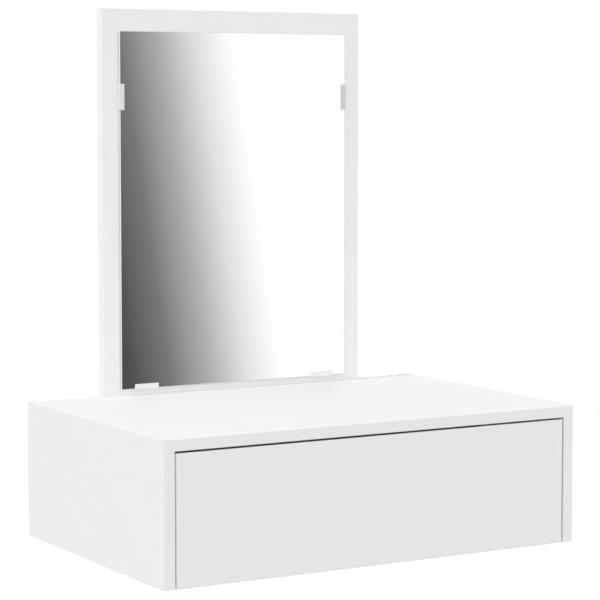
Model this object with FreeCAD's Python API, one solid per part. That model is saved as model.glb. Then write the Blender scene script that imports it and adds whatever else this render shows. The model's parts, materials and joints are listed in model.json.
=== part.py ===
import FreeCAD, Part
import os

# Wall-hung dressing table: a shallow carcass with one drawer and a mirror board standing on its top.
# X runs to the right, the front looks along -Y, the wall is the plane Y = 0.
# Z = 0 is the middle of the carcass height, where the four wall screws are centred.

os.makedirs("parts", exist_ok=True)
Vector = FreeCAD.Vector
right = Vector(1, 0, 0)
back = Vector(0, 1, 0)
up = Vector(0, 0, 1)

# Carcass
table_width = 600.0
table_depth = 400.0
carcass_height = 180.0
panel_thickness = 15.0
rear_recess = 10.0  # top, back panel and mirror board stop this far short of the wall
edge_round = 1.0  # rounding of the edges that show

# Mirror
mirror_board_width = 400.0
mirror_board_height = 520.0
glass_thickness = 3.0
glass_side_margin = 25.0
glass_foot_margin = 10.0
glass_head_margin = 30.0

# Mirror clips
clip_length = 35.0
clip_base = 1.0  # plate behind the glass
clip_base_reach = 16.0
clip_wall = 1.2  # outside the edge of the glass
clip_lip = 1.0  # in front of the glass
clip_overlap = 6.0
clip_round = 0.4
side_clip_drop = 70.0  # from the top of the glass to the top of a side clip
foot_clip_inset = 37.5  # from the side of the glass to the middle of a lower clip
clip_screw_end = 7.5  # from the end of a clip to the middle of its screw
clip_screw_edge = 6.0  # from the inner edge of the base to the middle of its screws

# Drawer
drawer_reveal = 2.0  # gap at both sides of the drawer front
drawer_head_gap = 2.5  # gap over the drawer front
front_land = 2.5  # depth of the front's top edge, from where it is bevelled to tip clear of the top panel
front_bevel_drop = 12.0  # from the top edge to the foot of that bevel
drawer_lift = 22.0  # from the lower edge of the front to the underside of the drawer box
drawer_headroom = 28.0  # from the top of the drawer box to the top panel
drawer_side_thickness = 12.0
drawer_bottom_thickness = 3.0
drawer_bottom_lift = 10.0  # from the underside of the drawer box
drawer_rear_room = 10.0  # from the drawer box to the back panel, for the heads of the wall screws
groove_depth = 5.0

# Runners
side_gap = 12.5  # beside the drawer box, for the runners
runner_sheet = 1.0
runner_setback = 2.0  # from the back of the drawer front to the front end of the cabinet runner
rail_height = 27.0  # from the underside of the drawer box to the track on the front roller
rear_roller_radius = 8.5
roller_round = 0.6
axle_radius = 2.0
axle_head_lip = 1.2  # of the axle's head beyond its shaft
axle_head_thickness = 0.8
runner_screw_count = 3
runner_screw_inset = 45.0

# Knock-down fittings
cam_radius = 7.5
cam_reach = 4.5  # below the middle of the panel
cam_recess = 0.3  # below the face of the panel
cam_setback = 34.0
drawer_cam_setback = 24.0
drawer_cam_reach = 3.5
bolt_thread_radius = 3.0
bolt_shaft_radius = 2.5
bolt_head_radius = 3.3
bolt_head_length = 4.0
bolt_bore_radius = 4.0
dowel_radius = 4.0
dowel_reach = 20.0  # in the panel that is joined on
drawer_dowel_radius = 3.0
blind_cover = 5.0  # left under a blind hole in a panel
fitting_inset = 60.0  # from the ends of the top panel to its outer fittings
fitting_pitch = 32.0  # from a cam to the dowel beside it
back_fitting_inset = 30.0  # from the edges of the back panel to its cams
back_dowel_offset = 40.0
board_dowel_inset = 20.0
cam_slot_length = 9.0
cam_slot_width = 1.6
cam_slot_depth = 1.5

# Joining plates behind the mirror board
plate_width = 40.0
plate_overlap = 60.0  # on the mirror board and on the back panel
plate_thickness = 2.0
plate_corner = 4.0
plate_inset = 88.0  # from the side of the mirror board to the middle of a plate
plate_screw_inset = 14.0
plate_screw_pitch = 26.0

# Wall bushes
wall_screw_radius = 3.0
wall_screw_side_inset = 65.0  # from the inner face of a side panel
wall_screw_edge_inset = 40.0  # from the top and from the underside of the carcass
bush_wall = 2.0
bush_shoulder = 4.0  # of the collar beyond the spigot

# Screws
screw_radius = 1.75
screw_head_radius = 3.4
screw_head_thickness = 1.2
countersink_depth = 1.4
screw_cover = 3.0  # left of the panel in front of a screw's tip
screw_bite = 20.0  # of a screw that runs into the edge of the drawer back
groove_cover = 1.0  # left of the drawer side between a runner screw and the groove
bottom_screw_inset = 110.0  # from the inner face of a drawer side
drawer_screw_rise = 40.0  # from the underside of the drawer box to the lower screw of its back
drawer_fitting_rise = 36.0
drawer_fitting_drop = 25.0

# Clearances
overshoot = 1.0  # of a cutting tool beyond the face that it opens
fit = 0.05  # round a pin, screw or dowel in its hole
head_cover = 0.1  # left of a clip's base under the head of its screw
glass_play = 0.1
groove_play = 0.2
running_gap = 0.25  # between a roller and its track
stop_gap = 0.3  # between the rear roller and the end stop
roller_play = 1.2  # between the rear roller and the lip over it
lip_clearance = 1.0  # between the drawer rail and the lip over it
roller_floor_gap = 1.2  # under the front roller
rail_edge_gap = 1.5  # between the cabinet runner's web and the rail, and the front roller
roller_spacing = 2.0  # between the drawer rail and the rear roller
pass_gap = 0.4  # between the rear roller's axle head and the screw heads that it passes
channel_gap = 1.3  # between the cabinet runner's edges and the drawer rail
rail_relief = 2.0  # between the rail's track and the rear roller
axle_inset = 2.5  # beyond the front roller
head_gap = 0.1  # between a roller and the head of its axle

# Planes that the pieces share
half_width = table_width / 2
inner_half = half_width - panel_thickness
underside = -carcass_height / 2
top_face = carcass_height / 2
top_underside = top_face - panel_thickness
top_middle = top_face - panel_thickness / 2
front_face = -table_depth
rear_face = -rear_recess
board_front = rear_face - panel_thickness
board_middle = rear_face - panel_thickness / 2
board_top = top_face + mirror_board_height
board_half = mirror_board_width / 2
glass_half = board_half - glass_side_margin
glass_foot = top_face + glass_foot_margin
glass_head = board_top - glass_head_margin
glass_back = board_front - clip_base
blind_depth = panel_thickness - blind_cover
bush_spigot_radius = wall_screw_radius + bush_wall
bush_collar_radius = bush_spigot_radius + bush_shoulder

drawer_front_back = front_face + panel_thickness
drawer_rear = board_front - drawer_rear_room
drawer_half = inner_half - side_gap
drawer_inner_half = drawer_half - drawer_side_thickness
drawer_underside = underside + drawer_lift
drawer_top = top_underside - drawer_headroom
drawer_back_front = drawer_rear - drawer_side_thickness
bottom_underside = drawer_underside + drawer_bottom_lift
bottom_face = bottom_underside + drawer_bottom_thickness

# Heights and radii of the roller runners, all taken from the track of the drawer rail
track = drawer_underside + rail_height
lip_underside = track + runner_sheet + lip_clearance
rear_axle_height = lip_underside - roller_play - rear_roller_radius
channel_floor = rear_axle_height - rear_roller_radius - running_gap
front_roller_radius = (track - running_gap - channel_floor - roller_floor_gap) / 2
front_axle_height = track - running_gap - front_roller_radius
runner_screw_height = (channel_floor + track) / 2
rail_depth = side_gap - runner_sheet
roller_room = screw_head_thickness + pass_gap + axle_head_thickness + head_gap
roller_width = rail_depth - runner_sheet - roller_spacing - roller_room
front_roller_reach = runner_sheet + rail_edge_gap
rear_roller_reach = rail_depth - roller_spacing - roller_width
cabinet_runner_front = drawer_front_back + runner_setback
cabinet_runner_rear = drawer_rear + runner_setback
stop_face = cabinet_runner_rear - runner_sheet
rear_axle_place = stop_face - stop_gap - rear_roller_radius
front_axle_place = cabinet_runner_front + axle_inset + front_roller_radius

# Lengths of the screws from the face under their heads
clip_screw_length = clip_base + panel_thickness - screw_cover
plate_screw_length = plate_thickness + panel_thickness - screw_cover
cabinet_screw_length = runner_sheet + panel_thickness - screw_cover
rail_screw_length = runner_sheet + drawer_side_thickness - groove_depth - groove_cover
drawer_back_screw_length = drawer_side_thickness + screw_bite
bottom_screw_length = drawer_bottom_thickness + screw_bite
clip_head_depth = clip_base - head_cover

sides = {"left": -1, "right": 1}


def block(x_span, y_span, z_span):
    low = Vector(min(x_span), min(y_span), min(z_span))
    size = Vector(max(x_span), max(y_span), max(z_span)) - low
    return Part.makeBox(size.x, size.y, size.z, low)


def rod(start, end, radius):
    return Part.makeCylinder(radius, (end - start).Length, start, end - start)


def bar(centre, half_a, half_b, through):
    corners = [
        centre - half_a - half_b,
        centre + half_a - half_b,
        centre + half_a + half_b,
        centre - half_a + half_b,
    ]
    return Part.Face(Part.makePolygon(corners + corners[:1])).extrude(through)


def soften(shape, radius, chosen):
    return shape.makeFillet(radius, [e for e in shape.Edges if chosen(e.CenterOfMass)])


def same(a, b):
    return abs(a - b) < fit / 10


def write(node, *solids):
    shape = solids[0] if len(solids) == 1 else Part.makeCompound(list(solids))
    shape.exportStep(os.path.join("parts", node + ".step"))


# Screws: the seat is where the head meets the face, and the shank runs into the panel from there
def pan_screw(seat, into, length):
    shank = rod(seat - into * screw_head_thickness, seat + into * length, screw_radius)
    head = rod(seat - into * screw_head_thickness, seat, screw_head_radius)
    return shank.fuse(head).removeSplitter()


def countersunk_screw(seat, into, length, depth):
    head = Part.makeCone(screw_head_radius, screw_radius, depth, seat, into)
    return head.fuse(rod(seat, seat + into * length, screw_radius)).removeSplitter()


def screw_hole(seat, into, length):
    return rod(seat - into * overshoot, seat + into * (length + fit), screw_radius + fit)


def countersink(seat, into, length, depth):
    cone = Part.makeCone(screw_head_radius + fit, screw_radius + fit, depth, seat, into)
    return cone.fuse(screw_hole(seat, into, length))


# Cam fittings: the seat is on the joint face, inward runs into the panel that holds the cam,
# and facing points out of the face of that panel in which the cam is let in
class CamJoint:
    def __init__(self, seat, inward, facing, thickness, setback, reach):
        self.seat = seat
        self.inward = inward
        self.facing = facing
        self.centre = seat + inward * setback
        self.face = self.centre + facing * (thickness / 2)
        self.floor = self.centre - facing * reach

    def bolt(self):
        thread = rod(self.seat - self.inward * blind_depth, self.seat, bolt_thread_radius)
        shaft = rod(self.seat, self.centre, bolt_shaft_radius)
        head = rod(self.centre - self.inward * bolt_head_length, self.centre, bolt_head_radius)
        return thread.fuse([shaft, head]).removeSplitter()

    def cam(self):
        mouth = self.face - self.facing * cam_recess
        across = self.inward.cross(self.facing)
        body = rod(self.floor, mouth, cam_radius)
        throat = rod(self.centre - self.inward * (2 * cam_radius), self.centre + self.inward * fit,
                     bolt_head_radius + fit)
        deep = self.facing * -cam_slot_depth
        slots = [
            bar(mouth, long * (cam_slot_length / 2), short * (cam_slot_width / 2), deep)
            for long, short in ((self.inward, across), (across, self.inward))
        ]
        return body.cut([throat] + slots)

    def anchor_hole(self):
        return rod(self.seat - self.inward * (blind_depth + fit), self.seat + self.inward * overshoot,
                   bolt_thread_radius + fit)

    def panel_holes(self):
        bore = rod(self.seat - self.inward * overshoot, self.centre, bolt_bore_radius)
        pocket = rod(self.floor - self.facing * fit, self.face + self.facing * overshoot, cam_radius + fit)
        return [bore, pocket]


class DowelJoint:
    def __init__(self, seat, inward, radius):
        self.seat = seat
        self.inward = inward
        self.radius = radius

    def pin(self, play=0.0):
        start = self.seat - self.inward * (blind_depth + play)
        end = self.seat + self.inward * (dowel_reach + play)
        return rod(start, end, self.radius + play)

    def hole(self):
        return self.pin(fit)


# Joints of the top and the back panel with one side panel
def top_cams(side):
    return [
        CamJoint(Vector(side * inner_half, place, top_middle), right * -side, up * -1,
                 panel_thickness, cam_setback, cam_reach)
        for place in (front_face + fitting_inset, rear_face - fitting_inset)
    ]


def top_dowels(side):
    inset = fitting_inset + fitting_pitch
    return [DowelJoint(Vector(side * inner_half, place, top_middle), right * -side, dowel_radius)
            for place in (front_face + inset, rear_face - inset)]


def back_cams(side):
    return [
        CamJoint(Vector(side * inner_half, board_middle, place), right * -side, back * -1,
                 panel_thickness, cam_setback, cam_reach)
        for place in (underside + back_fitting_inset, top_underside - back_fitting_inset)
    ]


def back_dowels(side):
    middle = (underside + top_underside) / 2
    return [DowelJoint(Vector(side * inner_half, board_middle, middle), right * -side, dowel_radius)]


# Upright dowels between the back panel and the top, and between the mirror board and the top
def under_top_dowels():
    return [DowelJoint(Vector(x, board_middle, top_underside), up * -1, dowel_radius)
            for x in (-back_dowel_offset, back_dowel_offset)]


def mirror_board_dowels():
    reach = board_half - board_dowel_inset
    return [DowelJoint(Vector(x, board_middle, top_face), up, dowel_radius) for x in (-reach, reach)]


def wall_places():
    x = inner_half - wall_screw_side_inset
    z = top_face - wall_screw_edge_inset
    return [Vector(sx * x, 0, sz * z) for sx in (-1, 1) for sz in (-1, 1)]


def plate_centres():
    x = board_half - plate_inset
    return {name: Vector(side * x, rear_face, top_middle) for name, side in sides.items()}


# Screws of one joining plate, in the mirror board where the sign is 1 and in the back panel where it is -1
def plate_screw_seats(centre, sign):
    end = panel_thickness / 2 + plate_overlap - plate_screw_inset
    surface = centre + back * plate_thickness
    return [surface + up * (sign * rise) for rise in (end, end - plate_screw_pitch)]


# Runner places, counted from the inner face of the cabinet side towards the drawer
def runner_x(side, reach):
    return side * (inner_half - reach)


def runner_block(side, x_span, y_span, z_span):
    return block([runner_x(side, x) for x in x_span], y_span, z_span)


def runner_screw_places(front, rear):
    step = (rear - front - 2 * runner_screw_inset) / (runner_screw_count - 1)
    return [front + runner_screw_inset + step * i for i in range(runner_screw_count)]


def cabinet_screw_seats(side):
    x = runner_x(side, runner_sheet)
    return [Vector(x, y, runner_screw_height)
            for y in runner_screw_places(cabinet_runner_front, cabinet_runner_rear)]


def drawer_screw_seats(side):
    x = runner_x(side, rail_depth)
    return [Vector(x, y, runner_screw_height) for y in runner_screw_places(drawer_front_back, drawer_rear)]


# Joints of the drawer
def drawer_cams(side):
    x = side * (drawer_half - drawer_side_thickness / 2)
    return [
        CamJoint(Vector(x, drawer_front_back, z), back, right * -side, drawer_side_thickness,
                 drawer_cam_setback, drawer_cam_reach)
        for z in (drawer_underside + drawer_fitting_rise, drawer_top - drawer_fitting_drop)
    ]


def drawer_dowels(side):
    x = side * (drawer_half - drawer_side_thickness / 2)
    z = (drawer_underside + drawer_fitting_rise + drawer_top - drawer_fitting_drop) / 2
    return [DowelJoint(Vector(x, drawer_front_back, z), back, drawer_dowel_radius)]


def drawer_back_seats(side):
    y = (drawer_back_front + drawer_rear) / 2
    heights = (drawer_underside + drawer_screw_rise, drawer_top - drawer_fitting_drop)
    return [Vector(side * drawer_half, y, z) for z in heights]


def drawer_bottom_seats():
    y = (drawer_back_front + drawer_rear) / 2
    reach = drawer_inner_half - bottom_screw_inset
    return [Vector(x, y, bottom_underside) for x in (-reach, 0, reach)]


# Carcass panels
def side_panel(side):
    panel = block((side * inner_half, side * half_width), (front_face, 0), (underside, top_face))
    panel = soften(panel, edge_round, lambda c: not same(c.x, side * inner_half))
    holes = [joint.anchor_hole() for joint in top_cams(side) + back_cams(side)]
    holes += [joint.hole() for joint in top_dowels(side) + back_dowels(side)]
    holes += [screw_hole(seat, right * side, cabinet_screw_length) for seat in cabinet_screw_seats(side)]
    return panel.cut(holes)


def top_panel():
    panel = block((-inner_half, inner_half), (front_face, rear_face), (top_underside, top_face))
    panel = soften(panel, edge_round, lambda c: same(c.y, front_face) and same(c.x, 0))
    holes = []
    for side in sides.values():
        holes += [hole for joint in top_cams(side) for hole in joint.panel_holes()]
        holes += [joint.hole() for joint in top_dowels(side)]
    holes += [joint.hole() for joint in under_top_dowels() + mirror_board_dowels()]
    return panel.cut(holes)


def back_panel():
    panel = block((-inner_half, inner_half), (board_front, rear_face), (underside, top_underside))
    holes = []
    for side in sides.values():
        holes += [hole for joint in back_cams(side) for hole in joint.panel_holes()]
        holes += [joint.hole() for joint in back_dowels(side)]
    holes += [joint.hole() for joint in under_top_dowels()]
    holes += [rod(place + back * (board_front - overshoot), place, bush_spigot_radius + fit)
              for place in wall_places()]
    for centre in plate_centres().values():
        holes += [screw_hole(seat, back * -1, plate_screw_length) for seat in plate_screw_seats(centre, -1)]
    return panel.cut(holes)


# Mirror board, glass and clips
def clip_frames():
    foot_reach = glass_half - foot_clip_inset
    side_height = glass_head - side_clip_drop - clip_length / 2
    return {
        "lower_left": (Vector(-foot_reach, board_front, glass_foot), up, right),
        "lower_right": (Vector(foot_reach, board_front, glass_foot), up, right),
        "left": (Vector(-glass_half, board_front, side_height), right, up),
        "right": (Vector(glass_half, board_front, side_height), right * -1, up),
    }


def clip_screw_seats(place, inward, along):
    middle = place + inward * (clip_base_reach - clip_screw_edge) - back * clip_base
    spread = clip_length / 2 - clip_screw_end
    return [middle + along * (sign * spread) for sign in (-1, 1)]


def mirror_clip(place, inward, along):
    front = clip_base + glass_thickness + glass_play
    outline = [
        (-clip_wall, 0),
        (clip_base_reach, 0),
        (clip_base_reach, clip_base),
        (0, clip_base),
        (0, front),
        (clip_overlap, front),
        (clip_overlap, front + clip_lip),
        (-clip_wall, front + clip_lip),
    ]
    start = place - along * (clip_length / 2)
    corners = [start + inward * reach - back * rise for reach, rise in outline]
    clip = Part.Face(Part.makePolygon(corners + corners[:1])).extrude(along * clip_length)
    lip_face = board_front - front - clip_lip
    clip = soften(clip, clip_round, lambda c: same(c.y, lip_face))
    return clip.cut([countersink(seat, back, clip_screw_length, clip_head_depth)
                     for seat in clip_screw_seats(place, inward, along)])


def mirror_board():
    board = block((-board_half, board_half), (board_front, rear_face), (top_face, board_top))
    board = soften(board, edge_round, lambda c: not same(c.z, top_face))
    holes = [joint.hole() for joint in mirror_board_dowels()]
    for frame in clip_frames().values():
        holes += [screw_hole(seat, back, clip_screw_length) for seat in clip_screw_seats(*frame)]
    for centre in plate_centres().values():
        holes += [screw_hole(seat, back * -1, plate_screw_length) for seat in plate_screw_seats(centre, 1)]
    return board.cut(holes)


def mirror_glass():
    faces = (glass_back, glass_back - glass_thickness)
    return block((-glass_half, glass_half), faces, (glass_foot, glass_head))


# Plates and bushes on the rear
def all_plate_seats(centre):
    return plate_screw_seats(centre, -1) + plate_screw_seats(centre, 1)


def joining_plate(centre):
    reach = panel_thickness / 2 + plate_overlap
    plate = bar(centre, right * (plate_width / 2), up * reach, back * plate_thickness)
    plate = soften(plate, plate_corner, lambda c: same(c.y, rear_face + plate_thickness / 2))
    return plate.cut([screw_hole(seat, back * -1, plate_screw_length) for seat in all_plate_seats(centre)])


def wall_bush(place):
    spigot = rod(place + back * board_front, place, bush_spigot_radius)
    collar = rod(place + back * rear_face, place, bush_collar_radius)
    bore = rod(place + back * (board_front - overshoot), place + back * overshoot, wall_screw_radius)
    return spigot.fuse(collar).removeSplitter().cut(bore)


# Runners
def axle(side, height, place, reach_start, reach_end):
    start = Vector(runner_x(side, reach_start), place, height)
    end = Vector(runner_x(side, reach_end), place, height)
    along = (end - start).normalize()
    head = rod(end, end + along * axle_head_thickness, axle_radius + axle_head_lip)
    return rod(start, end, axle_radius).fuse(head).removeSplitter()


def roller(side, height, place, radius, reach):
    ends = [Vector(runner_x(side, x), place, height) for x in (reach, reach + roller_width)]
    wheel = soften(rod(ends[0], ends[1], radius), roller_round, lambda c: True)
    return wheel.cut(rod(ends[0], ends[1], axle_radius + fit))


def axle_hole(side, height, place, reach_start, reach_end):
    start = Vector(runner_x(side, reach_start), place, height)
    end = Vector(runner_x(side, reach_end), place, height)
    return rod(start, end, axle_radius + fit)


def cabinet_runner(side):
    length = (cabinet_runner_front, cabinet_runner_rear)
    edge = rail_depth - channel_gap
    foot = channel_floor - runner_sheet
    head = lip_underside + runner_sheet
    web = runner_block(side, (0, runner_sheet), length, (foot, head))
    floor = runner_block(side, (0, edge), length, (foot, channel_floor))
    lip = runner_block(side, (0, edge), length, (lip_underside, head))
    stop = runner_block(side, (0, edge), (stop_face, cabinet_runner_rear), (channel_floor, lip_underside))
    holes = [screw_hole(seat, right * side, cabinet_screw_length) for seat in cabinet_screw_seats(side)]
    holes.append(axle_hole(side, front_axle_height, front_axle_place, 0, runner_sheet))
    return web.fuse([floor, lip, stop]).removeSplitter().cut(holes)


def drawer_runner(side):
    length = (drawer_front_back, drawer_rear)
    track_end = rear_axle_place - rear_roller_radius - rail_relief
    foot = drawer_underside - runner_sheet
    head = track + runner_sheet
    hook_end = side_gap + drawer_side_thickness
    leg = runner_block(side, (rail_depth, side_gap), length, (foot, head))
    hook = runner_block(side, (rail_depth, hook_end), length, (foot, drawer_underside))
    rail = runner_block(side, (front_roller_reach, side_gap), (drawer_front_back, track_end), (track, head))
    holes = [screw_hole(seat, right * -side, rail_screw_length) for seat in drawer_screw_seats(side)]
    holes.append(axle_hole(side, rear_axle_height, rear_axle_place, rail_depth, side_gap))
    return leg.fuse([hook, rail]).removeSplitter().cut(holes)


def front_axle(side):
    return axle(side, front_axle_height, front_axle_place, 0, front_roller_reach + roller_width + head_gap)


def rear_axle(side):
    return axle(side, rear_axle_height, rear_axle_place, side_gap, rear_roller_reach - head_gap)


# Drawer panels
def drawer_front():
    reach = inner_half - drawer_reveal
    head = top_underside - drawer_head_gap
    groove_reach = drawer_inner_half + groove_depth
    outline = [
        (front_face, underside),
        (drawer_front_back, underside),
        (drawer_front_back, head - front_bevel_drop),
        (front_face + front_land, head),
        (front_face, head),
    ]
    corners = [Vector(-reach, y, z) for y, z in outline]
    panel = Part.Face(Part.makePolygon(corners + corners[:1])).extrude(right * (2 * reach))
    panel = soften(panel, edge_round, lambda c: same(c.y, front_face))
    holes = [block((-groove_reach, groove_reach),
                   (drawer_front_back - groove_depth, drawer_front_back + overshoot),
                   (bottom_underside, bottom_face + groove_play))]
    for side in sides.values():
        holes += [joint.anchor_hole() for joint in drawer_cams(side)]
        holes += [joint.hole() for joint in drawer_dowels(side)]
    return panel.cut(holes)


def drawer_side(side):
    panel = block((side * drawer_inner_half, side * drawer_half), (drawer_front_back, drawer_rear),
                  (drawer_underside, drawer_top))
    panel = soften(panel, edge_round, lambda c: same(c.z, drawer_top) and not same(c.y, drawer_front_back))
    holes = [block((side * (drawer_inner_half - overshoot), side * (drawer_inner_half + groove_depth)),
                   (drawer_front_back, drawer_rear), (bottom_underside, bottom_face + groove_play))]
    for joint in drawer_cams(side):
        holes += joint.panel_holes()
    holes += [joint.hole() for joint in drawer_dowels(side)]
    holes += [screw_hole(seat, right * -side, rail_screw_length) for seat in drawer_screw_seats(side)]
    holes += [countersink(seat, right * -side, drawer_back_screw_length, countersink_depth)
              for seat in drawer_back_seats(side)]
    return panel.cut(holes)


def drawer_back():
    faces = (drawer_back_front, drawer_rear)
    panel = block((-drawer_inner_half, drawer_inner_half), faces, (bottom_face, drawer_top))
    panel = soften(panel, edge_round, lambda c: same(c.z, drawer_top) and same(c.x, 0))
    holes = [screw_hole(seat, up, bottom_screw_length) for seat in drawer_bottom_seats()]
    for side in sides.values():
        holes += [screw_hole(seat, right * -side, drawer_back_screw_length)
                  for seat in drawer_back_seats(side)]
    return panel.cut(holes)


def drawer_bottom():
    reach = drawer_inner_half + groove_depth - groove_play
    panel = block((-reach, reach), (drawer_front_back - groove_depth + groove_play, drawer_rear),
                  (bottom_underside, bottom_face))
    return panel.cut([screw_hole(seat, up, bottom_screw_length) for seat in drawer_bottom_seats()])


# Pieces that come once
write("top_panel", top_panel())
write("back_panel", back_panel())
write("mirror_board", mirror_board())
write("mirror_glass", mirror_glass())
write("drawer_front", drawer_front())
write("drawer_back", drawer_back())
write("drawer_bottom", drawer_bottom())

# Pieces that come in pairs and sets
for name, side in sides.items():
    write(name + "_side_panel", side_panel(side))
    write(name + "_joining_plate", joining_plate(plate_centres()[name]))
    write(name + "_cabinet_runner", cabinet_runner(side))
    write("drawer_" + name + "_side", drawer_side(side))
    write(name + "_drawer_runner", drawer_runner(side))
    write(name + "_front_roller",
          roller(side, front_axle_height, front_axle_place, front_roller_radius, front_roller_reach))
    write(name + "_rear_roller",
          roller(side, rear_axle_height, rear_axle_place, rear_roller_radius, rear_roller_reach))
for name, frame in clip_frames().items():
    write(name + "_mirror_clip", mirror_clip(*frame))

# Fittings, each kind as one group of separate solids
both = sides.values()
write("mirror_clip_screws", *[countersunk_screw(seat, back, clip_screw_length, clip_head_depth)
                              for frame in clip_frames().values() for seat in clip_screw_seats(*frame)])
write("joining_plate_screws", *[pan_screw(seat, back * -1, plate_screw_length)
                                for centre in plate_centres().values() for seat in all_plate_seats(centre)])
write("carcass_cams", *[joint.cam() for side in both for joint in top_cams(side) + back_cams(side)])
write("carcass_cam_bolts", *[joint.bolt() for side in both for joint in top_cams(side) + back_cams(side)])
write("carcass_dowels", *[joint.pin() for side in both for joint in top_dowels(side) + back_dowels(side)],
      *[joint.pin() for joint in under_top_dowels()])
write("mirror_board_dowels", *[joint.pin() for joint in mirror_board_dowels()])
write("wall_bushes", *[wall_bush(place) for place in wall_places()])
write("cabinet_runner_screws", *[pan_screw(seat, right * side, cabinet_screw_length)
                                 for side in both for seat in cabinet_screw_seats(side)])
write("cabinet_runner_axles", *[front_axle(side) for side in both])
write("drawer_runner_screws", *[pan_screw(seat, right * -side, rail_screw_length)
                                for side in both for seat in drawer_screw_seats(side)])
write("drawer_runner_axles", *[rear_axle(side) for side in both])
write("drawer_cams", *[joint.cam() for side in both for joint in drawer_cams(side)])
write("drawer_cam_bolts", *[joint.bolt() for side in both for joint in drawer_cams(side)])
write("drawer_dowels", *[joint.pin() for side in both for joint in drawer_dowels(side)])
write("drawer_back_screws",
      *[countersunk_screw(seat, right * -side, drawer_back_screw_length, countersink_depth)
        for side in both for seat in drawer_back_seats(side)])
write("drawer_bottom_screws", *[pan_screw(seat, up, bottom_screw_length) for seat in drawer_bottom_seats()])
print("front roller radius", front_roller_radius, "rear roller radius", rear_roller_radius)
print("front axle", front_axle_place, front_axle_height, "rear axle", rear_axle_place, rear_axle_height)
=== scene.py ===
import json
import math

import bmesh
import bpy
from mathutils import Matrix, Vector

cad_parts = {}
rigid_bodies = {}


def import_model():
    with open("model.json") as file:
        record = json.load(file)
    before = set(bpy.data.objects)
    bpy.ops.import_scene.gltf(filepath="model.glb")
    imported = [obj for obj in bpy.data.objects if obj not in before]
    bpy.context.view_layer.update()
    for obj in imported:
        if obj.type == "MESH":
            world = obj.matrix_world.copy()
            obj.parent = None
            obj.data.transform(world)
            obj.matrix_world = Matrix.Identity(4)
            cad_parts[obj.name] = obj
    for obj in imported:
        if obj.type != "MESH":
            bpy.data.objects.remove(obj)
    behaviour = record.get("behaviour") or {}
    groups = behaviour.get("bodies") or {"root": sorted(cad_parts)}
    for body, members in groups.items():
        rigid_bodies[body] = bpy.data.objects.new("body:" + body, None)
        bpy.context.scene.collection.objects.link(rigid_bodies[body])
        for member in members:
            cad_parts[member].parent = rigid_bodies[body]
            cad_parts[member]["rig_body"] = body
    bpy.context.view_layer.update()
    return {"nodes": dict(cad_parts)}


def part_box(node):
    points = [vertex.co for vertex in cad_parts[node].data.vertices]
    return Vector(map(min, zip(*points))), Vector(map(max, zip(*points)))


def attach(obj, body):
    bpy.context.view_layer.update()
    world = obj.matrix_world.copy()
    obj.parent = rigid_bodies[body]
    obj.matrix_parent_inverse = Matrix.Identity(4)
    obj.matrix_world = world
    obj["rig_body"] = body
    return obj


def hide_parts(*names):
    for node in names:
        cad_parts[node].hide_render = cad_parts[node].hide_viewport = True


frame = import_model()
nodes = frame["nodes"]
print("frame loaded:", len(nodes), "nodes")

# All lengths are in metres
sides = {"left": -1, "right": 1}
xAxis, yAxis, zAxis = Vector((1, 0, 0)), Vector((0, 1, 0)), Vector((0, 0, 1))
tiny = 1e-6  # between corners that count as one
square = 0.9999  # least cosine of a face that lies square to an axis
sharpAngle = math.radians(40)


class Wire:
    # a socket that takes part in arithmetic: every operator adds one Math node
    def __init__(self, tree, socket=None):
        self.tree = tree
        self.socket = socket

    def add(self, kind, settings=None, inputs=None, output=0):
        node = self.tree.nodes.new(kind)
        for name, value in (settings or {}).items():
            if name == "stops":
                setStops(node.color_ramp.elements, value)
            else:
                setattr(node, name, value)
        for name, value in (inputs or {}).items():
            if isinstance(value, Wire):
                self.tree.links.new(value.socket, node.inputs[name])
            else:
                node.inputs[name].default_value = value
        return Wire(self.tree, node.outputs[output])

    def to(self, node, name):
        self.tree.links.new(self.socket, node.inputs[name])

    def maths(self, operation, *operands):
        return self.add("ShaderNodeMath", {"operation": operation}, dict(enumerate(operands)))

    def clamped(self):
        return self.add("ShaderNodeClamp", inputs={"Value": self})

    def mixed(self, first, second):  # two colours, with this wire as the factor
        return self.add("ShaderNodeMix", {"data_type": "RGBA"}, {0: self, 6: first, 7: second}, 2)

    def split(self):  # a vector into x, y and z
        node = self.add("ShaderNodeSeparateXYZ", inputs={"Vector": self}).socket.node
        return [Wire(self.tree, socket) for socket in node.outputs]

    def __abs__(self):
        return self.maths("ABSOLUTE", self)

    def __add__(self, other):
        return self.maths("ADD", self, other)

    def __radd__(self, other):
        return self.maths("ADD", other, self)

    def __sub__(self, other):
        return self.maths("SUBTRACT", self, other)

    def __rsub__(self, other):
        return self.maths("SUBTRACT", other, self)

    def __mul__(self, other):
        return self.maths("MULTIPLY", self, other)

    def __rmul__(self, other):
        return self.maths("MULTIPLY", other, self)

    def __truediv__(self, other):
        return self.maths("DIVIDE", self, other)

    def __rtruediv__(self, other):
        return self.maths("DIVIDE", other, self)


def setStops(elements, stops):
    while len(elements) < len(stops):
        elements.new(1.0)
    for element, (place, shade) in zip(elements, stops):
        element.position = place
        element.color = shade


def grey(value):
    return (value, value, value, 1)


def toned(colour, paintedLightTone):
    return [part * paintedLightTone for part in colour[:3]] + [1]


def startMaterial(name, constants):
    material = bpy.data.materials.new(name)
    material.use_nodes = True
    shader = material.node_tree.nodes["Principled BSDF"]
    for socket, value in constants.items():
        shader.inputs[socket].default_value = value
    return material, shader, Wire(material.node_tree)


def objectPlace(wires):
    return wires.add("ShaderNodeTexCoord", output="Object")


def noise(wires, place, scale, detail=2.0, roughness=0.5):
    inputs = {"Vector": place, "Scale": scale, "Detail": detail, "Roughness": roughness}
    return wires.add("ShaderNodeTexNoise", inputs=inputs)


def bump(height, distance):
    return height.add("ShaderNodeBump", inputs={"Height": height, "Distance": distance})


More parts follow.
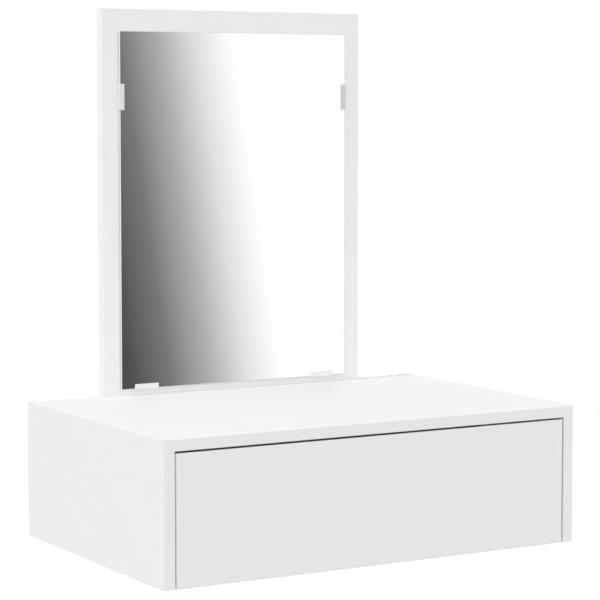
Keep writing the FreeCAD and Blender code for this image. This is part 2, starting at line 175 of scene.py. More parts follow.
# Melamine-faced board: a pearl grain on the faces, smoother bands glued on the edges that show
melamineLook = {
    "white": (0.94, 0.94, 0.931, 1),
    "cloud": (0.925, 0.925, 0.915, 1),
    "band": (0.93, 0.93, 0.922, 1),
    "seam": (0.62, 0.61, 0.59, 1),
    "paler": {"mirror_board": 1.03},  # painted light: this panel is made paler to stand for the extra light that falls on it
    "index": 1.5,
    "mattIndex": 1.1,  # of the drawer box
    "cloudScale": 7.0,
    "pearlScale": 1500.0,
    "pearlDepth": 0.000012,
    "roughness": 0.44,
    "roughnessSpread": 0.1,
    "bandThickness": 0.001,
    "seamWidth": 0.00012,
    "seamShow": 0.5,
}
# an edge is an axis and its low or high end
leftEnd, rightEnd, front, rear, foot, head = (0, -1), (0, 1), (1, -1), (1, 1), (2, -1), (2, 1)
bandedEdges = {
    "left_side_panel": (front, rear, foot, head),
    "right_side_panel": (front, rear, foot, head),
    "top_panel": (front,),
    "back_panel": (foot,),
    "mirror_board": (leftEnd, rightEnd, head),
    "drawer_front": (leftEnd, rightEnd, foot, head),
    "drawer_left_side": (head,),
    "drawer_right_side": (head,),
    "drawer_back": (head,),
}


def melamine(node, edges):
    look = melamineLook
    low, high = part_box(node)
    # painted light: a panel listed under it gets a paler white, as if lit more
    paintedLightTone = look["paler"].get(node, 1)
    white, cloud, bandWhite = (toned(look[name], paintedLightTone) for name in ("white", "cloud", "band"))
    drawerBox = node.startswith("drawer") and node != "drawer_front"
    index = look["mattIndex"] if drawerBox else look["index"]
    material, shader, wires = startMaterial(node + "Melamine", {"IOR": index})
    place = objectPlace(wires)
    at = place.split()
    clouds = noise(wires, place, look["cloudScale"], detail=3)
    pearl = noise(wires, place, look["pearlScale"])
    band, seam = None, None
    for axis, end in edges:
        depth = (high[axis] - at[axis]) if end > 0 else (at[axis] - low[axis])
        inside = ((look["bandThickness"] - depth) / look["seamWidth"]).clamped()
        line = (1 - abs(depth - look["bandThickness"]) / look["seamWidth"]).clamped()
        band = inside if band is None else wires.maths("MAXIMUM", band, inside)
        seam = line if seam is None else wires.maths("MAXIMUM", seam, line)
    face = clouds.mixed(white, cloud)
    banded = band.mixed(face, bandWhite)
    (seam * look["seamShow"]).mixed(banded, look["seam"]).to(shader, "Base Color")
    spread = look["roughnessSpread"]
    (look["roughness"] - spread / 2 + clouds * spread - band * spread / 2).to(shader, "Roughness")
    bump(pearl * (1 - band) - seam, look["pearlDepth"]).to(shader, "Normal")
    return material


for node, edges in bandedEdges.items():
    nodes[node].material_slots[0].material = melamine(node, edges)
print("melamine panels:", len(bandedEdges))


# Thin fibreboard: printed white on top, raw underneath
hardboardLook = {
    "white": (0.83, 0.83, 0.81, 1),
    "raw": (0.36, 0.235, 0.14, 1),
    "rawDark": (0.22, 0.135, 0.075, 1),
    "index": 1.2,
    "printedAbove": 0.5,  # least upward part of a printed face's normal
    "printSmooths": 0.25,  # taken off the roughness
    "printFills": 0.8,  # share of the fibres' depth
    "fibreScale": 420.0,
    "fibreShare": 0.75,  # of the raw colour, the rest is the clouds'
    "fibreDepth": 0.00003,
    "cloudScale": 9.0,
    "roughness": 0.72,
    "roughnessSpread": 0.08,
}


def hardboard():
    look = hardboardLook
    material, shader, wires = startMaterial("printedHardboard", {"IOR": look["index"]})
    place = objectPlace(wires)
    upward = wires.add("ShaderNodeTexCoord", output="Normal").split()[2]
    printed = wires.maths("GREATER_THAN", upward, look["printedAbove"])
    fibres = noise(wires, place, look["fibreScale"], detail=4, roughness=0.65)
    clouds = noise(wires, place, look["cloudScale"], detail=3)
    darkening = fibres * look["fibreShare"] + clouds * (1 - look["fibreShare"])
    raw = darkening.mixed(look["raw"], look["rawDark"])
    printed.mixed(raw, look["white"]).to(shader, "Base Color")
    smoothing = printed * look["printSmooths"]
    (look["roughness"] - smoothing + clouds * look["roughnessSpread"]).to(shader, "Roughness")
    bump(fibres * (1 - printed * look["printFills"]), look["fibreDepth"]).to(shader, "Normal")
    return material


# Metals: clouded, with a grain that rolling stretches along Z
metalLooks = {
    "zinc": {
        "pale": (0.7, 0.71, 0.73, 1),
        "dull": (0.56, 0.57, 0.59, 1),
        "cloudScale": 45.0,
        "grainScale": 2600.0,
        "grainShare": 0.45,  # of the colour, the rest is the clouds'
        "stretch": 0.03,
        "roughness": 0.24,
        "roughnessSpread": 0.2,
        "depth": 0.000006,
    },
    "castAlloy": {
        "pale": (0.62, 0.62, 0.63, 1),
        "dull": (0.42, 0.42, 0.43, 1),
        "cloudScale": 240.0,
        "grainScale": 1500.0,
        "grainShare": 0.45,
        "stretch": 1.0,
        "roughness": 0.42,
        "roughnessSpread": 0.2,
        "depth": 0.00002,
    },
}


def metal(name, look):
    material, shader, wires = startMaterial(name, {"Metallic": 1.0})
    place = objectPlace(wires)
    rolled = wires.add("ShaderNodeMapping", inputs={"Vector": place, "Scale": (1, 1, look["stretch"])})
    clouds = noise(wires, place, look["cloudScale"], detail=3, roughness=0.6)
    grain = noise(wires, rolled, look["grainScale"])
    dulling = clouds * (1 - look["grainShare"]) + grain * look["grainShare"]
    dulling.mixed(look["pale"], look["dull"]).to(shader, "Base Color")
    (look["roughness"] + (clouds + grain) / 2 * look["roughnessSpread"]).to(shader, "Roughness")
    bump(grain, look["depth"]).to(shader, "Normal")
    return material


# Coated and moulded finishes
skinLooks = {
    "whiteEnamel": {
        "pale": (0.84, 0.84, 0.815, 1),
        "deep": (0.79, 0.79, 0.76, 1),
        "index": 1.5,
        "cloudScale": 30.0,
        "grainScale": 700.0,
        "roughness": 0.27,
        "roughnessSpread": 0.12,
        "depth": 0.00003,
    },
    "rollerNylon": {
        "pale": (0.86, 0.85, 0.81, 1),
        "deep": (0.79, 0.78, 0.73, 1),
        "index": 1.5,
        "cloudScale": 220.0,
        "grainScale": 1800.0,
        "roughness": 0.38,
        "roughnessSpread": 0.15,
        "depth": 0.00001,
    },
    "bushNylon": {
        "pale": (0.82, 0.81, 0.77, 1),
        "deep": (0.75, 0.74, 0.69, 1),
        "index": 1.5,
        "cloudScale": 180.0,
        "grainScale": 1600.0,
        "roughness": 0.42,
        "roughnessSpread": 0.15,
        "depth": 0.000012,
    },
}


def skin(name, look):
    material, shader, wires = startMaterial(name, {"IOR": look["index"]})
    place = objectPlace(wires)
    clouds = noise(wires, place, look["cloudScale"], detail=3)
    grain = noise(wires, place, look["grainScale"])
    clouds.mixed(look["pale"], look["deep"]).to(shader, "Base Color")
    (look["roughness"] + clouds * look["roughnessSpread"]).to(shader, "Roughness")
    bump(grain, look["depth"]).to(shader, "Normal")
    return material


# Beech of the dowels: a grain stretched along X, with darker flecks
beechLook = {
    "pale": (0.66, 0.45, 0.27, 1),
    "dark": (0.5, 0.31, 0.165, 1),
    "fleck": (0.36, 0.2, 0.1, 1),
    "index": 1.45,
    "grainScale": 520.0,
    "fleckScale": 900.0,
    "fleckFrom": 0.62,  # of the noise
    "fleckSharpness": 12.0,
    "stretch": 0.12,
    "roughness": 0.55,
    "roughnessSpread": 0.2,
    "depth": 0.00003,
}


def beech():
    look = beechLook
    material, shader, wires = startMaterial("turnedBeech", {"IOR": look["index"]})
    stretch = (look["stretch"], 1, 1)
    stretched = wires.add("ShaderNodeMapping", inputs={"Vector": objectPlace(wires), "Scale": stretch})
    grain = noise(wires, stretched, look["grainScale"], detail=4, roughness=0.6)
    flecks = noise(wires, stretched, look["fleckScale"], detail=1)
    spots = ((flecks - look["fleckFrom"]) * look["fleckSharpness"]).clamped()
    spots.mixed(grain.mixed(look["pale"], look["dark"]), look["fleck"]).to(shader, "Base Color")
    (look["roughness"] + grain * look["roughnessSpread"]).to(shader, "Roughness")
    bump(grain, look["depth"]).to(shader, "Normal")
    return material


finishes = {name: metal(name, look) for name, look in metalLooks.items()}
finishes.update({name: skin(name, look) for name, look in skinLooks.items()})
finishes["beech"] = beech()
finishes["hardboard"] = hardboard()
cadFinishes = {  # of the other nodes that keep their CAD mesh
    "zinc": (
        "mirror_clip_screws",
        "carcass_cam_bolts",
        "drawer_cam_bolts",
        "cabinet_runner_axles",
        "drawer_runner_axles",
    ),
    "castAlloy": ("carcass_cams", "drawer_cams"),
    "beech": ("carcass_dowels", "mirror_board_dowels", "drawer_dowels"),
    "hardboard": ("drawer_bottom",),
}
for finish, members in cadFinishes.items():
    for node in members:
        nodes[node].material_slots[0].material = finishes[finish]
print("finishes:", len(finishes))


# Building blocks of the new pieces
def pieceName(node):
    first, *rest = node.split("_")
    return first + "".join(word.capitalize() for word in rest)


def shadeSmooth(bm):
    # faces square to an axis stay flat, so the rounded edges don't bend their shading
    for face in bm.faces:
        face.smooth = max(abs(part) for part in face.normal) < square
    for edge in bm.edges:
        edge.smooth = len(edge.link_faces) == 2 and edge.calc_face_angle() < sharpAngle


def dress(bm, node, slot, *materials):
    # turns a bmesh into the piece that stands for a CAD node
    shadeSmooth(bm)
    mesh = bpy.data.meshes.new(pieceName(node))
    bm.to_mesh(mesh)
    bm.free()
    for material in materials:
        mesh.materials.append(material)
    piece = bpy.data.objects.new(pieceName(node), mesh)
    bpy.context.scene.collection.objects.link(piece)
    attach(piece, nodes[node]["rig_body"])
    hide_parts(node)
    return piece


def solidBoxes(node):
    # corners of each separate solid in a CAD node
    bm = bmesh.new()
    bm.from_mesh(nodes[node].data)
    bmesh.ops.remove_doubles(bm, verts=bm.verts, dist=tiny)
    found = set()
    boxes = []
    for first in bm.verts:
        if first in found:
            continue
        found.add(first)
        solid = [first]
        for vert in solid:  # grows as neighbours are found
            near = [edge.other_vert(vert) for edge in vert.link_edges]
            fresh = [other for other in near if other not in found]
            found.update(fresh)
            solid.extend(fresh)
        low = Vector([min(vert.co[i] for vert in solid) for i in range(3)])
        high = Vector([max(vert.co[i] for vert in solid) for i in range(3)])
        boxes.append((low, high))
    bm.free()
    return boxes


def block(bm, low, high):
    place = Matrix.Translation((low + high) / 2) @ Matrix.Diagonal((*(high - low), 1))
    bmesh.ops.create_cube(bm, size=1, matrix=place)


def newVerts(extruded):
    return [part for part in extruded["geom"] if isinstance(part, bmesh.types.BMVert)]


def soften(bm, geom, offset, segments, affect="EDGES"):
    bmesh.ops.bevel(bm, geom=geom, offset=offset, offset_type="OFFSET", affect=affect, segments=segments,
                    profile=0.5, material=-1)


def lathe(bm, outline, centre, axis, steps, closed):
    # outline is a list of (along the axis, radius) pairs
    side = axis.orthogonal().normalized()
    verts = [bm.verts.new(centre + axis * along + side * radius) for along, radius in outline]
    pairs = list(zip(verts, verts[1:])) + ([(verts[-1], verts[0])] if closed else [])
    edges = [bm.edges.new(pair) for pair in pairs]
    bmesh.ops.spin(bm, geom=verts + edges, cent=centre, axis=axis, dvec=(0, 0, 0), angle=math.tau,
                   steps=steps, use_merge=True)


def closeUp(bm):
    bmesh.ops.remove_doubles(bm, verts=bm.verts, dist=tiny)
    bmesh.ops.recalc_face_normals(bm, faces=bm.faces)


# Mirror glass: silvered face, seamed edge, painted back
glassLook = {
    "arris": 0.0003,
    "arrisSegments": 2,
    "silver": (0.985, 0.99, 0.987, 1),
    "silverDeep": (0.975, 0.983, 0.979, 1),
    "smearScale": 9.0,
    "smearRoughness": 0.012,
    "edge": (0.94, 0.955, 0.95, 1),
    "edgeDeep": (0.89, 0.91, 0.9, 1),
    "edgeIndex": 1.52,
    "grindScale": 1200.0,
    "grindRoughness": 0.16,
    "grindSpread": 0.2,
    "grindDepth": 0.00001,
    "back": (0.72, 0.725, 0.73, 1),
    "backDeep": (0.64, 0.645, 0.65, 1),
    "backIndex": 1.45,
    "dripScale": 35.0,
    "dripRoughness": 0.5,
    "dripSpread": 0.2,
}


def silver():
    look = glassLook
    material, shader, wires = startMaterial("silveredGlass", {"Metallic": 1.0})
    smears = noise(wires, objectPlace(wires), look["smearScale"], detail=3)
    smears.mixed(look["silver"], look["silverDeep"]).to(shader, "Base Color")
    (smears * look["smearRoughness"]).to(shader, "Roughness")
    return material


def groundEdge():
    look = glassLook
    material, shader, wires = startMaterial("groundGlassEdge", {"IOR": look["edgeIndex"]})
    grinding = noise(wires, objectPlace(wires), look["grindScale"])
    grinding.mixed(look["edge"], look["edgeDeep"]).to(shader, "Base Color")
    (look["grindRoughness"] + grinding * look["grindSpread"]).to(shader, "Roughness")
    bump(grinding, look["grindDepth"]).to(shader, "Normal")
    return material


def backPaint():
    look = glassLook
    material, shader, wires = startMaterial("mirrorBackPaint", {"IOR": look["backIndex"]})
    drips = noise(wires, objectPlace(wires), look["dripScale"], detail=4)
    drips.mixed(look["back"], look["backDeep"]).to(shader, "Base Color")
    (look["dripRoughness"] + drips * look["dripSpread"]).to(shader, "Roughness")
    return material


def mirrorGlass():
    look = glassLook
    bm = bmesh.new()
    block(bm, *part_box("mirror_glass"))
    soften(bm, bm.edges[:], look["arris"], look["arrisSegments"])
    for face in bm.faces:  # 0 is the front, 2 the back and 1 the edge between them
        face.material_index = 0 if face.normal.y < -square else 2 if face.normal.y > square else 1
    dress(bm, "mirror_glass", "mirror_silver", silver(), groundEdge(), backPaint())


mirrorGlass()
print("mirror glass done")


# Mirror clips: a base behind the glass, a wall outside its edge and a lip in front of it
clipLook = {
    "places": {  # the way into the glass, and a darkening of the plastic that paints the shade each clip stands in
        "lower_left": (zAxis, 0.985),
        "lower_right": (zAxis, 0.985),
        "left": (xAxis, 0.84),
        "right": (-xAxis, 0.71),
    },
    "base": 0.001,
    "wall": 0.0012,
    "lip": 0.001,
    "lipRound": 0.0004,
    "lipSegments": 4,
    "overlap": 0.006,
    "pale": (1, 1, 0.99, 1),
    "deep": (0.97, 0.97, 0.95, 1),
    "index": 1.5,
    "cloudScale": 60.0,
    "grainScale": 2400.0,
    "roughness": 0.3,
    "roughnessSpread": 0.1,
    "depth": 0.000008,
}


def mirrorClip(name, inward, paintedLightTone):
    look = clipLook
    node = name + "_mirror_clip"
    low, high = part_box(node)
    along = zAxis if inward.z == 0 else xAxis
    near, far = sorted((low.dot(inward), high.dot(inward)))
    reach = far - near - look["wall"]
    rise = high.y - low.y
    lipBack = rise - look["lip"]
    start = inward * (near + look["wall"]) + along * low.dot(along) + yAxis * high.y
    outline = [
        (-look["wall"], 0), (reach, 0), (reach, look["base"]), (0, look["base"]),
        (0, lipBack), (look["overlap"], lipBack), (look["overlap"], rise), (-look["wall"], rise),
    ]
    bm = bmesh.new()
    face = bm.faces.new([bm.verts.new(start + inward * x - yAxis * y) for x, y in outline])
    pushed = newVerts(bmesh.ops.extrude_face_region(bm, geom=[face]))
    bmesh.ops.translate(bm, verts=pushed, vec=along * (high.dot(along) - low.dot(along)))
    bmesh.ops.recalc_face_normals(bm, faces=bm.faces)
    onLip = [edge for edge in bm.edges if all(abs(vert.co.y - low.y) < tiny for vert in edge.verts)]
    soften(bm, onLip, look["lipRound"], look["lipSegments"])
    # painted shade: the plastic's colours are darkened by how little light this clip gets
    paintedShades = {shade: toned(look[shade], paintedLightTone) for shade in ("pale", "deep")}
    dress(bm, node, "clip_plastic", skin(pieceName(node) + "Plastic", {**look, **paintedShades}))


for name, (inward, paintedLightTone) in clipLook["places"].items():
    mirrorClip(name, inward, paintedLightTone)
print("mirror clips:", len(clipLook["places"]))


# Screws: a head with a cross recess, a threaded shank and a point
screwLook = {
    "steps": 32,
    "panRise": 0.0012,
    "panWall": 0.3,  # share of the rise
    "panSteps": 4,
    "countersink": 0.0014,
    "countersinkRim": 0.0001,
    "flat": 0.66,  # shares of the head's radius
    "recessArm": 0.52,
    "recessHalfWidth": 0.1,
    "recessTaper": 0.7,
    "recessDepth": 0.0011,
    "shankRadius": 0.00175,
    "threadPitch": 0.0013,
    "threadRoot": (0.35, 0.65),  # shares of the pitch
    "threadDepth": 0.00035,
    "tipLength": 0.003,
}


def screwOutline(headRadius, length, headRise, headSink):
    # from the flat of the head to the tip; the seat of the head is at 0 and the tip at -length
    look = screwLook
    flat, wall = look["flat"], look["panWall"]
    outline = [(headRise, headRadius * flat)]
    if headRise > 0:  # a pan head, with a quarter of an ellipse from its flat to its wall
        for step in range(1, look["panSteps"] + 1):
            angle = math.pi / 2 * step / look["panSteps"]
            rise = wall + (1 - wall) * math.cos(angle)
            width = flat + (1 - flat) * math.sin(angle)
            outline.append((headRise * rise, headRadius * width))
        outline.append((0, headRadius))
    else:  # a countersunk head
        outline += [(0, headRadius), (-look["countersinkRim"], headRadius)]
    crest, root = look["shankRadius"], look["shankRadius"] - look["threadDepth"]
    pitch = look["threadPitch"]
    place = -headSink
    outline.append((place, crest))
    while place > -length + look["tipLength"] + pitch:
        outline += [(place - pitch * share, root) for share in look["threadRoot"]]
        place -= pitch
        outline.append((place, crest))
    return outline + [(-length, 0)]


def addScrew(bm, seat, out, headRadius, length, headRise, headSink):
    look = screwLook
    outline = screwOutline(headRadius, length, headRise, headSink)
    lathe(bm, outline, seat, out, look["steps"], closed=False)
    bmesh.ops.remove_doubles(bm, verts=bm.verts, dist=tiny)
    rim = [edge for edge in bm.edges if edge.is_boundary]
    arm, half = headRadius * look["recessArm"], headRadius * look["recessHalfWidth"]
    side = out.orthogonal().normalized()
    cross = []
    for quarter in range(4):
        across = out.cross(side)
        for along, aside in ((arm, -half), (arm, half), (half, half)):
            cross.append(bm.verts.new(seat + out * headRise + side * along + across * aside))
        side = across
    mouth = [bm.edges.new(pair) for pair in zip(cross, cross[1:] + cross[:1])]
    bmesh.ops.triangle_fill(bm, edges=rim + mouth, use_beauty=True, normal=out)
    floor = newVerts(bmesh.ops.extrude_edge_only(bm, edges=mouth))
    taper = Vector.Fill(3, look["recessTaper"])
    bmesh.ops.scale(bm, verts=floor, vec=taper, space=Matrix.Translation(-seat - out * headRise))
    bmesh.ops.translate(bm, verts=floor, vec=out * -look["recessDepth"])
    bmesh.ops.edgeloop_fill(bm, edges=[edge for edge in bm.edges if edge.is_boundary])


def screws(node, heads, headRise, headSink=0.0):
    # heads is the way that the heads look on the right half of the table, which the left half mirrors
    bm = bmesh.new()
    for low, high in solidBoxes(node):
        middle = (low + high) / 2
        out = -heads if heads.x != 0 and middle.x < 0 else heads
        span = abs((high - low).dot(out))
        headRadius = min(high - low) / 2
        top = middle + out * (span / 2)
        addScrew(bm, top - out * headRise, out, headRadius, span - headRise, headRise, headSink)
    closeUp(bm)
    dress(bm, node, "zinc_steel", finishes["zinc"])


screws("joining_plate_screws", yAxis, screwLook["panRise"])
screws("cabinet_runner_screws", -xAxis, screwLook["panRise"])
screws("drawer_runner_screws", xAxis, screwLook["panRise"])
screws("drawer_bottom_screws", -zAxis, screwLook["panRise"])
screws("drawer_back_screws", xAxis, 0.0, screwLook["countersink"])
print("screws done")


# Joining plates: stamped flat steel behind the mirror board
plateSizes = {
    "corner": 0.004,
    "cornerSegments": 8,
    "rim": 0.0003,
    "rimSegments": 2,
}


def joiningPlate(node):
    size = plateSizes
    low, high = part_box(node)
    bm = bmesh.new()
    block(bm, low, high)
    corners = [edge for edge in bm.edges if abs((edge.verts[0].co - edge.verts[1].co).y) > tiny]
    soften(bm, corners, size["corner"], size["cornerSegments"])
    rim = [edge for edge in bm.edges if all(vert.co.y > high.y - tiny for vert in edge.verts)]
    soften(bm, rim, size["rim"], size["rimSegments"])
    dress(bm, node, "zinc_steel", finishes["zinc"])


for side in sides:
    joiningPlate(side + "_joining_plate")
print("joining plates done")


# Rollers: a tread, a recessed web and a hub round the axle
rollerSizes = {
    "steps": 64,
    "bore": 0.00205,
    "hub": 0.0036,
    "recess": 0.0009,
    "draft": 0.0002,  # slope of the recess
    "rim": 0.0018,
    "treadRound": 0.0006,
}


def roller(node):
    size = rollerSizes
    low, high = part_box(node)
    half = (high.x - low.x) / 2
    radius = (high.z - low.z) / 2
    web = half - size["recess"]
    rim = radius - size["rim"]
    corner = size["treadRound"]
    bulge = corner * (1 - math.sqrt(0.5))  # the middle of the rounding
    oneSide = [
        (half, size["bore"]), (half, size["hub"]),
        (web, size["hub"] + size["draft"]), (web, rim - size["draft"]), (half, rim),
        (half, radius - corner), (half - bulge, radius - bulge), (half - corner, radius),
    ]
    outline = oneSide + [(-along, across) for along, across in reversed(oneSide)]
    bm = bmesh.new()
    lathe(bm, outline, (low + high) / 2, xAxis, size["steps"], closed=True)
    closeUp(bm)
    dress(bm, node, "roller_nylon", finishes["rollerNylon"])


for side in sides:
    for place in ("front", "rear"):
        roller(f"{side}_{place}_roller")
print("rollers done")


# Wall bushes: a spigot through the back panel and a collar against the wall
bushSizes = {
    "steps": 48,
    "bore": 0.003,
    "spigot": 0.005,
    "chamfer": 0.0005,
    "relief": 0.0012,
}


def wallBushes():
    bore, spigot, chamfer, relief = (bushSizes[name] for name in ("bore", "spigot", "chamfer", "relief"))
    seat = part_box("back_panel")[1].y
    bm = bmesh.new()
    for low, high in solidBoxes("wall_bushes"):
        middle = (low + high) / 2
        collar = (high.x - low.x) / 2
        outline = [
            (low.y, bore), (low.y, spigot - chamfer), (low.y + chamfer, spigot), (seat, spigot),
            (seat, collar - chamfer), (seat + chamfer, collar),
            (high.y - chamfer, collar), (high.y, collar - chamfer),
            (high.y, spigot + relief), (high.y - relief, spigot + relief / 2),
            (high.y - relief, bore + relief), (high.y, bore + relief / 2), (high.y, bore),
        ]
        lathe(bm, outline, Vector((middle.x, 0, middle.z)), yAxis, bushSizes["steps"], closed=True)
    closeUp(bm)
    dress(bm, "wall_bushes", "bush_nylon", finishes["bushNylon"])


wallBushes()
print("wall bushes done")


# Runners: sheet steel bent round small radii, with slots between the screws
runnerSizes = {
    "sheet": 0.001,
    "bend": 0.0012,  # of the sheet's middle line
    "bendSegments": 4,
    "edgeRound": 0.0002,
    "edgeSegments": 2,
    "slotLength": 0.026,
    "slotWidth": 0.005,
    "slotRound": 0.49,  # share of the slot's width
    "slotSegments": 6,
    "trackEnd": 0.002,  # between the drawer rail and the rear roller
}


def bentSheet(bm, corners, start, length):
    # corners are points of the sheet's middle line at its front end
    size = runnerSizes
    verts = [bm.verts.new((x, start, z)) for x, z in corners]
    for pair in zip(verts, verts[1:]):
        bm.edges.new(pair)
    soften(bm, verts[1:-1], size["bend"], size["bendSegments"], "VERTICES")
    pushed = newVerts(bmesh.ops.extrude_edge_only(bm, edges=bm.edges[:]))
    bmesh.ops.translate(bm, verts=pushed, vec=yAxis * length)
    bmesh.ops.recalc_face_normals(bm, faces=bm.faces)


def cutAcross(bm, place):
    everything = bm.verts[:] + bm.edges[:] + bm.faces[:]
    bmesh.ops.bisect_plane(bm, geom=everything, plane_co=(0, place, 0), plane_no=yAxis)


def nearestFace(bm, point):
    return min(bm.faces, key=lambda face: (face.calc_center_median() - point).length)


def webOf(bm):
    upright = [face for face in bm.faces if abs(face.normal.x) > square]
    return max(upright, key=lambda face: face.calc_area())


def cutSlots(bm, places):
    # oval holes in the upright web of a runner, centred at these places along it
    size = runnerSizes
    middle = webOf(bm).calc_center_median()
    long, wide = yAxis * (size["slotLength"] / 2), zAxis * (size["slotWidth"] / 2)
    for place in places:
        middle.y = place
        cutAcross(bm, place - size["slotLength"])
        cutAcross(bm, place + size["slotLength"])
        cell = nearestFace(bm, middle)
        rim = cell.edges[:]
        bmesh.ops.delete(bm, geom=[cell], context="FACES_ONLY")
        ends = (long + wide, long - wide, -long - wide, wide - long)
        corners = [bm.verts.new(middle + end) for end in ends]
        for pair in zip(corners, corners[1:] + corners[:1]):
            bm.edges.new(pair)
        soften(bm, corners, size["slotWidth"] * size["slotRound"], size["slotSegments"], "VERTICES")
        slot = [edge for edge in bm.edges if edge.is_wire]
        bmesh.ops.triangle_fill(bm, edges=rim + slot, use_beauty=True)


def slotPlaces(node):
    # halfway between neighbouring screws of this side
    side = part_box(node)[0].x
    group = "cabinet_runner_screws" if "cabinet" in node else "drawer_runner_screws"
    screwPlaces = sorted((low + high).y / 2 for low, high in solidBoxes(group) if low.x * side > 0)
    return [(a + b) / 2 for a, b in zip(screwPlaces, screwPlaces[1:])]


def dressRunner(bm, node):
    size = runnerSizes
    bmesh.ops.recalc_face_normals(bm, faces=bm.faces)
    piece = dress(bm, node, "white_enamel", finishes["whiteEnamel"])
    sheet = piece.modifiers.new("sheet", "SOLIDIFY")
    sheet.thickness = size["sheet"]
    sheet.offset = 0
    sheet.use_even_offset = True
    rims = piece.modifiers.new("rims", "BEVEL")
    rims.width = size["edgeRound"]
    rims.segments = size["edgeSegments"]
    rims.angle_limit = sharpAngle


def cabinetRunner(side):
    size = runnerSizes
    node = side + "_cabinet_runner"
    low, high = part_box(node)
    half = size["sheet"] / 2
    wall, lip = (high.x - half, low.x) if sides[side] > 0 else (low.x + half, high.x)
    corners = [(lip, low.z + half), (wall, low.z + half), (wall, high.z - half), (lip, high.z - half)]
    bm = bmesh.new()
    bentSheet(bm, corners, low.y, high.y - half - low.y)
    rearEdge = max(webOf(bm).edges, key=lambda edge: (edge.verts[0].co + edge.verts[1].co).y)
    rearVerts = set(rearEdge.verts)
    stop = newVerts(bmesh.ops.extrude_edge_only(bm, edges=[rearEdge]))
    bmesh.ops.translate(bm, verts=stop, vec=xAxis * (lip - wall))
    fold = [edge for edge in bm.edges if set(edge.verts) == rearVerts]
    soften(bm, fold, size["bend"], size["bendSegments"])
    bm.normal_update()
    cutSlots(bm, slotPlaces(node))
    dressRunner(bm, node)


def drawerRunner(side):
    size = runnerSizes
    node = side + "_drawer_runner"
    low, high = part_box(node)
    panelLow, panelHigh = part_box(f"drawer_{side}_side")
    half = size["sheet"] / 2
    if sides[side] > 0:
        hook, leg, rail = low.x, panelHigh.x + half, high.x
    else:
        hook, leg, rail = high.x, panelLow.x - half, low.x
    corners = [(hook, low.z + half), (leg, low.z + half), (leg, high.z - half), (rail, high.z - half)]
    bm = bmesh.new()
    bentSheet(bm, corners, low.y, high.y - low.y)
    cutSlots(bm, slotPlaces(node))
    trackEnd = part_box(side + "_rear_roller")[0].y - size["trackEnd"]
    cutAcross(bm, trackEnd)
    railFoot = high.z - half - size["bend"]
    centres = {face: face.calc_center_median() for face in bm.faces}
    spare = [face for face, centre in centres.items() if centre.y > trackEnd and centre.z > railFoot]
    bmesh.ops.delete(bm, geom=spare, context="FACES")
    dressRunner(bm, node)


for side in sides:
    cabinetRunner(side)
    drawerRunner(side)
print("runners done")


# Studio: a pale floor, and a world that is white to the camera
studio = {
    "tableHeight": 0.75,  # of the table's top above the floor
    "floorRadius": 4.0,
    "floorSegments": 128,
    "floorPale": 0.715,
    "worldLevel": 0.68,
    "mirrorLevel": 0.9,  # of the light that the mirror throws on the table
}


def viewRays(wires):
    # rays of the camera, those straight off a gloss, and those that a matt surface scattered before it
    outputs = ("Is Camera Ray", "Is Glossy Ray", "Is Transmission Ray", "Diffuse Depth")
    camera, glossy, through, depth = (wires.add("ShaderNodeLightPath", output=name) for name in outputs)
    bounced = (glossy + through).clamped()
    scattered = depth.clamped()
    return camera, bounced * (1 - scattered), bounced * scattered


def makeFloor():
    bm = bmesh.new()
    segments, radius = studio["floorSegments"], studio["floorRadius"]
    bmesh.ops.create_circle(bm, cap_ends=True, segments=segments, radius=radius)
    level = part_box("top_panel")[1].z - studio["tableHeight"]
    bmesh.ops.translate(bm, verts=bm.verts, vec=(0, 0, level))
    mesh = bpy.data.meshes.new("floor")
    bm.to_mesh(mesh)
    bm.free()
    material = bpy.data.materials.new("paleFloor")
    material.use_nodes = True
    tree = material.node_tree
    wires = Wire(tree)
    camera, mirrored = viewRays(wires)[:2]
    pale = (camera + mirrored).clamped().mixed(grey(studio["floorPale"]), grey(1))
    shade = wires.add("ShaderNodeBsdfDiffuse", inputs={"Color": pale})
    clear = wires.add("ShaderNodeBsdfTransparent")
    below = wires.add("ShaderNodeNewGeometry", output="Backfacing")  # from below it doesn't hide the table
    surface = wires.add("ShaderNodeMixShader", inputs={0: below, 1: shade, 2: clear})
    surface.to(tree.nodes["Material Output"], "Surface")
    mesh.materials.append(material)
    floor = bpy.data.objects.new("floor", mesh)
    bpy.context.scene.collection.objects.link(floor)


# What the mirror sees: soft white panels side by side, each fading in from a dark gap at its left
reflection = {
    "firstGap": 23.9,  # degrees round from straight ahead of the mirror, towards its right
    "period": 28.0,
    "slant": 0.145,  # of the gap, in degrees for each degree upwards
    "stops": ((0, 0.05), (1, 0.08), (2, 0.19), (3, 0.43), (4, 0.78), (4.8, 1), (21, 1), (28, 0.05)),
    "panelsEnd": 2.0,  # how fast they give way beside the table
    "rearLevel": 0.78,  # behind the table is a plain fade, darker downwards
    "rearSlope": 0.6,
}


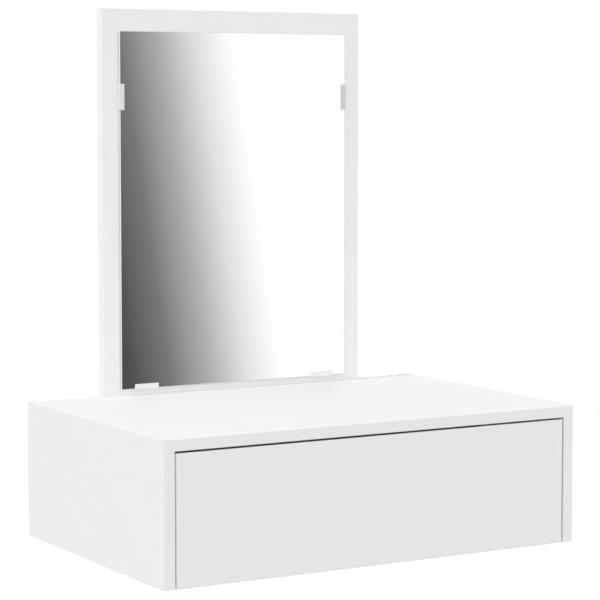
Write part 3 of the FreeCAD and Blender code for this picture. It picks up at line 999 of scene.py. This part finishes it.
def makeWorld():
    look = reflection
    world = bpy.data.worlds.new("studio")
    bpy.context.scene.world = world
    world.use_nodes = True
    wires = Wire(world.node_tree)
    x, y, z = wires.add("ShaderNodeTexCoord", output="Generated").split()
    degree = math.degrees(1)
    turn = wires.maths("ARCTAN2", x, 0 - y) * degree
    lift = wires.maths("ARCSINE", z) * degree
    place = (turn + lift * look["slant"] - look["firstGap"]) / look["period"]
    stops = [(at / look["period"], grey(value)) for at, value in look["stops"]]
    panels = wires.add("ShaderNodeValToRGB", {"stops": stops}, {"Fac": wires.maths("FRACT", place)})
    ahead = (0.5 - y * look["panelsEnd"]).clamped()
    fade = (z * look["rearSlope"] + look["rearLevel"]).clamped()
    camera, mirrored, leaked = viewRays(wires)
    # scattered light off a gloss counts only where the mirror throws it, or the table's inside would glow
    offMirror = wires.maths("LESS_THAN", y, 0) * wires.maths("GREATER_THAN", z, 0)
    thrown = offMirror.mixed(grey(0), grey(studio["mirrorLevel"]))
    light = leaked.mixed(grey(studio["worldLevel"]), thrown)
    seen = mirrored.mixed(light, ahead.mixed(fade, panels))
    camera.mixed(seen, grey(1)).to(world.node_tree.nodes["Background"], "Color")


# Lamps: soft suns, with their strength, where they shine from and their spread in degrees
lamps = {
    "keyLamp": (1.0, (-0.72, -0.05, 0.7), 8.0),
    "frontLamp": (0.53, (0.1, -0.8, 0.58), 90.0),
}


def makeLamps():
    for name, (strength, place, spread) in lamps.items():
        lamp = bpy.data.lights.new(name, "SUN")
        lamp.energy = strength
        lamp.angle = math.radians(spread)
        holder = bpy.data.objects.new(name, lamp)
        holder.location = place
        holder.rotation_euler = Vector(place).to_track_quat("Z", "Y").to_euler()  # shines along its own -Z
        bpy.context.scene.collection.objects.link(holder)


# The camera stands left of the table, a little above its middle
viewpoint = {
    "place": (-1.477, -2.7379, 0.4894),
    "turn": 30.242,  # degrees to the right of straight ahead
    "tilt": -4.351,
    "lens": 134.57,
    "shift": -0.05,
}


def makeCamera():
    camera = bpy.data.cameras.new("camera")
    camera.lens = viewpoint["lens"]
    camera.shift_y = viewpoint["shift"]
    holder = bpy.data.objects.new("camera", camera)
    holder.location = viewpoint["place"]
    holder.rotation_euler = (math.radians(90 + viewpoint["tilt"]), 0, math.radians(-viewpoint["turn"]))
    bpy.context.scene.collection.objects.link(holder)
    bpy.context.scene.camera = holder


makeFloor()
makeWorld()
makeLamps()
makeCamera()
bpy.context.scene.view_settings.view_transform = "Standard"
print("studio done")

# The mirror shows the studio and not the table below it
for thing in bpy.data.objects:
    if not thing.name.endswith("MirrorClip"):
        thing.visible_glossy = False
